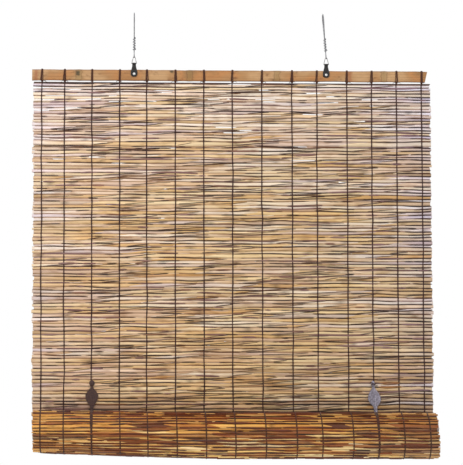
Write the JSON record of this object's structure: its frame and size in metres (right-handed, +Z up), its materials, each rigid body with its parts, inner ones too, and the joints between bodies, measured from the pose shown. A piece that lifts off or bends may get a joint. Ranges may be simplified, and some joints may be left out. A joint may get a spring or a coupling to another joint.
{
  "type": "bamboo roller blind",
  "caption": "Hanging blind of dark-stitched split reeds, partly rolled up and held by leaf hooks, hung from wire loops on a round bar.",
  "frame": {"origin": "on the axis of the round bar that the two wires loop over, midway between the wires", "axes": "+X to the viewer's right along the bar, -Y towards the viewer, +Z up; the whole blind leans 2.13 degrees back at its foot, as its weight makes it hang"},
  "size_m": [1.012, 0.1179, 1.1229],
  "materials": {
    "bamboo_slat": "satin bamboo",
    "hanging_reed": "dry split reed",
    "rolled_reed": "glossy outer reed",
    "warp_yarn": "dark brown yarn",
    "galvanised_wire": "dull galvanised",
    "ring_steel": "bent steel wire",
    "black_plate": "black, half gloss",
    "bright_screw": "bright plated",
    "dark_bronze": "dark bronze, dull",
    "dull_silver": "dull silver grey"
  },
  "bodies": {
    "hanging_wires": {"left_hanging_wire": "galvanised_wire", "right_hanging_wire": "galvanised_wire"},
    "left_ring": {"left_ring": "ring_steel"},
    "right_ring": {"right_ring": "ring_steel"},
    "blind": {"head_rail": "bamboo_slat", "reed_mat": "hanging_reed", "left_hanger_plate": "black_plate", "right_hanger_plate": "black_plate", "left_hanger_screw": "bright_screw", "right_hanger_screw": "bright_screw", "rail_tie_01": "warp_yarn", "rail_tie_02": "warp_yarn", "rail_tie_03": "warp_yarn", "rail_tie_04": "warp_yarn", "rail_tie_05": "warp_yarn", "rail_tie_06": "warp_yarn", "rail_tie_07": "warp_yarn", "rail_tie_08": "warp_yarn", "rail_tie_09": "warp_yarn", "rail_tie_10": "warp_yarn", "rail_tie_11": "warp_yarn", "rail_tie_12": "warp_yarn", "rail_tie_13": "warp_yarn", "rail_tie_14": "warp_yarn", "rail_tie_15": "warp_yarn", "warp_string_01": "warp_yarn", "warp_string_02": "warp_yarn", "warp_string_03": "warp_yarn", "warp_string_04": "warp_yarn", "warp_string_05": "warp_yarn", "warp_string_06": "warp_yarn", "warp_string_07": "warp_yarn", "warp_string_08": "warp_yarn", "warp_string_09": "warp_yarn", "warp_string_10": "warp_yarn", "warp_string_11": "warp_yarn", "warp_string_12": "warp_yarn", "warp_string_13": "warp_yarn", "warp_string_14": "warp_yarn", "warp_string_15": "warp_yarn"},
    "hooks": {"left_leaf_hook": "dark_bronze", "right_leaf_hook": "dull_silver"},
    "roll": {"reed_roll": "rolled_reed", "bottom_batten": "bamboo_slat", "roll_string_01": "warp_yarn", "roll_string_02": "warp_yarn", "roll_string_03": "warp_yarn", "roll_string_04": "warp_yarn", "roll_string_05": "warp_yarn", "roll_string_06": "warp_yarn", "roll_string_07": "warp_yarn", "roll_string_08": "warp_yarn", "roll_string_09": "warp_yarn", "roll_string_10": "warp_yarn", "roll_string_11": "warp_yarn", "roll_string_12": "warp_yarn", "roll_string_13": "warp_yarn", "roll_string_14": "warp_yarn", "roll_string_15": "warp_yarn"}
  },
  "joints": [
    {"name": "left_ring_swing", "type": "hinge", "parent": "hanging_wires", "child": "left_ring", "pos_m": [-0.243, 0, -0.0965], "axis": [1, 0, 0], "range_deg": [-40, 40]},
    {"name": "right_ring_swing", "type": "hinge", "parent": "hanging_wires", "child": "right_ring", "pos_m": [0.243, 0, -0.0965], "axis": [1, 0, 0], "range_deg": [-40, 40]},
    {"name": "blind_swing", "type": "hinge", "parent": "left_ring", "child": "blind", "pos_m": [-0.243, 0, -0.1137], "axis": [1, 0, 0], "range_deg": [-40, 40]},
    {"name": "roll_lift", "type": "slide", "parent": "blind", "child": "hooks", "axis": [0, -0.0372, 0.9993], "range_m": [0, 0.73], "deforming": ["reed_mat", "warp_string_01", "warp_string_02", "warp_string_03", "warp_string_04", "warp_string_05", "warp_string_06", "warp_string_07", "warp_string_08", "warp_string_09", "warp_string_10", "warp_string_11", "warp_string_12", "warp_string_13", "warp_string_14", "warp_string_15"]},
    {"name": "roll_spin", "type": "hinge", "parent": "hooks", "child": "roll", "pos_m": [0, -0.01534, -1.04652], "axis": [1, 0, 0], "range_deg": [-723, 0]}
  ],
  "couplings": [
    {"joint": "right_ring_swing", "follows": "left_ring_swing", "ratio": 1},
    {"joint": "roll_spin", "follows": "roll_lift", "rad_per_m": -17.241}
  ]
}
